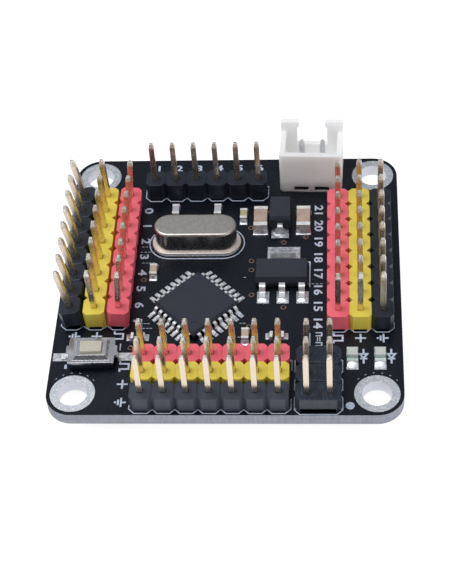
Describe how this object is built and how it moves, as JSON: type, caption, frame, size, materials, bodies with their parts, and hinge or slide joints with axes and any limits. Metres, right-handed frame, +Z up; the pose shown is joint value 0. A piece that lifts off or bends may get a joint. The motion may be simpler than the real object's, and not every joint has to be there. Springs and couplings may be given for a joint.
{
  "type": "servo driver board",
  "caption": "Square microcontroller board with three-row post headers on three sides for servos and sensors, a power socket, serial and programming headers, and a reset switch.",
  "frame": {"origin": "centre of the four mounting holes, on the underside of the board", "axes": "+X right and +Y back, seen from the side with the front header block towards the viewer, +Z up out of the component side"},
  "size_m": [0.04, 0.04, 0.0116],
  "materials": {
    "solder_mask": "satin black lacquer over glass laminate, grey sawn edge",
    "tinned_copper": "bright tin plating with a slightly mottled surface",
    "post_metal": "thin pale gold plating, bright",
    "black_plastic": "fine moulded satin",
    "yellow_plastic": "fine moulded satin",
    "red_plastic": "fine moulded satin",
    "white_plastic": "milky nylon",
    "can_steel": "fine brushed nickel-plated steel",
    "seal_glass": "dark fused glass",
    "quartz": "clear polished crystal with silvered spots",
    "package_moulding": "fine-grained dark moulding",
    "silicon": "polished grey",
    "tan_ceramic": "fired tan ceramic",
    "resistor_body": "dark glaze on white ceramic",
    "lamp_base": "pale green laminate",
    "lamp_lens": "clear resin, slightly milky",
    "switch_cover": "pressed bright steel sheet",
    "cream_plastic": "smooth cream plastic",
    "spring_steel": "rolled spring steel"
  },
  "bodies": {
    "board_assembly": {"circuit_board": "solder_mask", "mounting_hole_rings": "tinned_copper", "surface_pads": "tinned_copper", "solder_joints": "tinned_copper", "left_ground_header_housing": "black_plastic", "left_ground_header_posts": "post_metal", "left_power_header_housing": "yellow_plastic", "left_power_header_posts": "post_metal", "left_signal_header_housing": "red_plastic", "left_signal_header_posts": "post_metal", "right_ground_header_housing": "black_plastic", "right_ground_header_posts": "post_metal", "right_power_header_housing": "yellow_plastic", "right_power_header_posts": "post_metal", "right_signal_header_housing": "red_plastic", "right_signal_header_posts": "post_metal", "front_ground_header_housing": "black_plastic", "front_ground_header_posts": "post_metal", "front_power_header_housing": "yellow_plastic", "front_power_header_posts": "post_metal", "front_signal_header_housing": "red_plastic", "front_signal_header_posts": "post_metal", "serial_header_housing": "black_plastic", "serial_header_posts": "post_metal", "programming_header_housing": "black_plastic", "programming_header_posts": "post_metal", "power_socket_housing": "white_plastic", "power_socket_posts": "tinned_copper", "crystal_can": "can_steel", "crystal_base": "can_steel", "crystal_leads": "tinned_copper", "crystal_seals": "seal_glass", "crystal_quartz": "quartz", "microcontroller_body": "package_moulding", "microcontroller_leads": "tinned_copper", "microcontroller_die": "silicon", "regulator_body": "package_moulding", "regulator_leads": "tinned_copper", "regulator_heat_tab": "tinned_copper", "regulator_die": "silicon", "diode_body": "package_moulding", "diode_terminals": "tinned_copper", "diode_pellet": "silicon", "supply_capacitor_bodies": "tan_ceramic", "supply_capacitor_ends": "tinned_copper", "signal_capacitor_bodies": "tan_ceramic", "signal_capacitor_ends": "tinned_copper", "resistor_bodies": "resistor_body", "resistor_ends": "tinned_copper", "indicator_lamp_bases": "lamp_base", "indicator_lamp_ends": "tinned_copper", "indicator_lamp_lenses": "lamp_lens", "indicator_lamp_chips": "silicon", "reset_switch_base": "black_plastic", "reset_switch_cover": "switch_cover", "reset_switch_terminals": "tinned_copper", "reset_switch_dome": "spring_steel"},
    "reset_plunger": {"reset_switch_plunger": "cream_plastic"}
  },
  "joints": [
    {"name": "reset_press", "type": "slide", "parent": "board_assembly", "child": "reset_plunger", "axis": [0, 0, -1], "range_m": [0, 0.00025], "stiffness_N_per_m": 2000, "springref_m": -0.0001, "deforming": ["reset_switch_dome"]}
  ]
}
